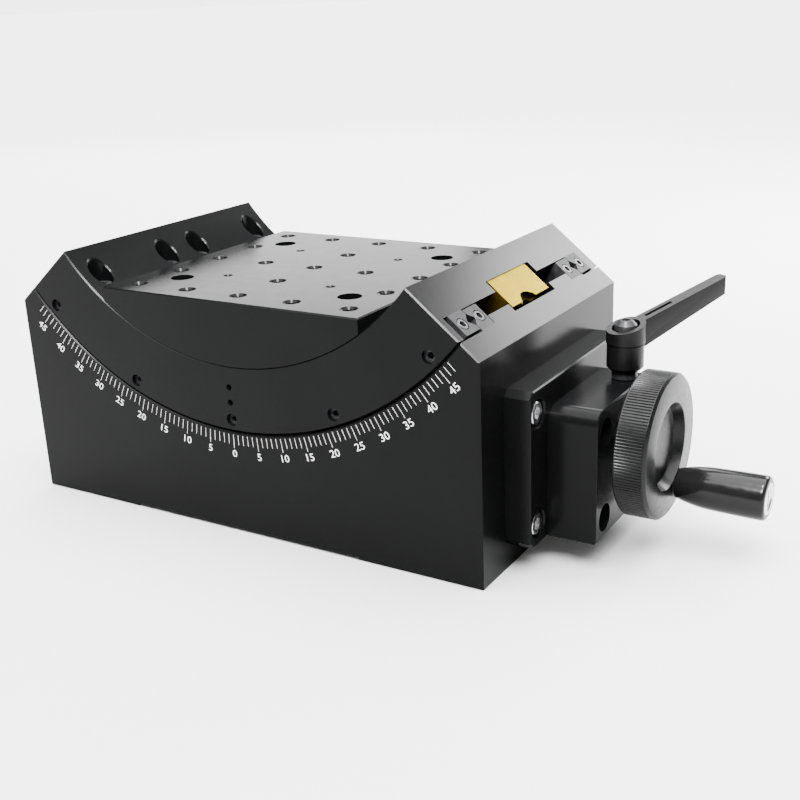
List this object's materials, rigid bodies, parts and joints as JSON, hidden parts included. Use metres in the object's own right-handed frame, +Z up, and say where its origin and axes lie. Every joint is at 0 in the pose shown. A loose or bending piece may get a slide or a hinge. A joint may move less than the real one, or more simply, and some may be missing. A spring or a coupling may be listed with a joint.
{
  "type": "angle adjustment stage",
  "caption": "Cradle goniometer: a drilled table on an arc-shaped cradle tilts in a block base, driven by a worm with a handwheel and crank handle, with a clamping lever.",
  "frame": {"origin": "on the underside of the base, in the middle of its four fixing holes", "axes": "+X towards the handwheel, +Y from the scale's side to the back, +Z up"},
  "size_m": [0.2931, 0.12, 0.1062],
  "materials": {
    "anodised": "satin black anodised",
    "rail_steel": "ground, dark",
    "bright_steel": "bright",
    "dark_screw": "black oxide",
    "segment_brass": "milled",
    "bearing_steel": "polished",
    "grip_plastic": "glossy",
    "lever_paint": "fine matt powder coat",
    "scale_paint": "matt white, filled into the engraved scale"
  },
  "bodies": {
    "base_body": {"base": "anodised", "inner_rail_front": "rail_steel", "inner_rail_back": "rail_steel", "inner_rail_screws": "bright_steel", "inner_rail_end_screws": "bright_steel", "flange_plate": "anodised", "flange_screws": "bright_steel", "clamp_block": "anodised", "clamp_block_screws": "bright_steel", "worm_bearings": "bearing_steel", "bearing_nut": "bright_steel"},
    "cradle_body": {"cradle": "anodised", "table": "anodised", "table_screws": "dark_screw", "outer_rail_front": "rail_steel", "outer_rail_back": "rail_steel", "outer_rail_screws": "bright_steel", "outer_rail_end_screws": "bright_steel", "preload_screws": "dark_screw", "worm_segment": "segment_brass", "segment_screws": "bright_steel"},
    "cage_body": {"roller_cages": "segment_brass", "crossed_rollers": "bearing_steel"},
    "drive_body": {"worm_shaft": "bright_steel", "bearing_inner_rings": "bearing_steel", "shaft_nut": "bright_steel", "handwheel": "anodised", "handwheel_set_screw": "dark_screw", "handle_spindle": "bright_steel"},
    "grip_body": {"handle_grip": "grip_plastic"},
    "clamp_screw_body": {"lever_insert": "dark_screw", "lever_screw": "bright_steel", "lever_spring": "bright_steel"},
    "lever_body": {"lever_arm": "lever_paint"}
  },
  "joints": [
    {"name": "cradle_tilt", "type": "hinge", "parent": "base_body", "child": "cradle_body", "pos_m": [0, 0, 0.171], "axis": [0, 1, 0], "range_deg": [-45, 45]},
    {"name": "cage_roll", "type": "hinge", "parent": "base_body", "child": "cage_body", "pos_m": [0, 0, 0.171], "axis": [0, 1, 0], "range_deg": [-22.5, 22.5]},
    {"name": "handwheel_spin", "type": "hinge", "parent": "base_body", "child": "drive_body", "pos_m": [0, 0, 0.0405], "axis": [1, 0, 0], "range_deg": [-8100, 8100]},
    {"name": "grip_spin", "type": "hinge", "parent": "drive_body", "child": "grip_body", "pos_m": [0.17, 0.01045, 0.0224], "axis": [1, 0, 0], "continuous": true},
    {"name": "clamp_turn", "type": "hinge", "parent": "base_body", "child": "clamp_screw_body", "pos_m": [0.129, 0.015, 0.0592], "axis": [0, 0, 1], "range_deg": [-110, 30]},
    {"name": "lever_lift", "type": "slide", "parent": "clamp_screw_body", "child": "lever_body", "axis": [0, 0, 1], "range_m": [0, 0.0035], "stiffness_N_per_m": 300, "springref_m": -0.005, "deforming": ["lever_spring"]}
  ],
  "couplings": [
    {"joint": "cage_roll", "follows": "cradle_tilt", "ratio": 0.5},
    {"joint": "handwheel_spin", "follows": "cradle_tilt", "ratio": 180}
  ]
}
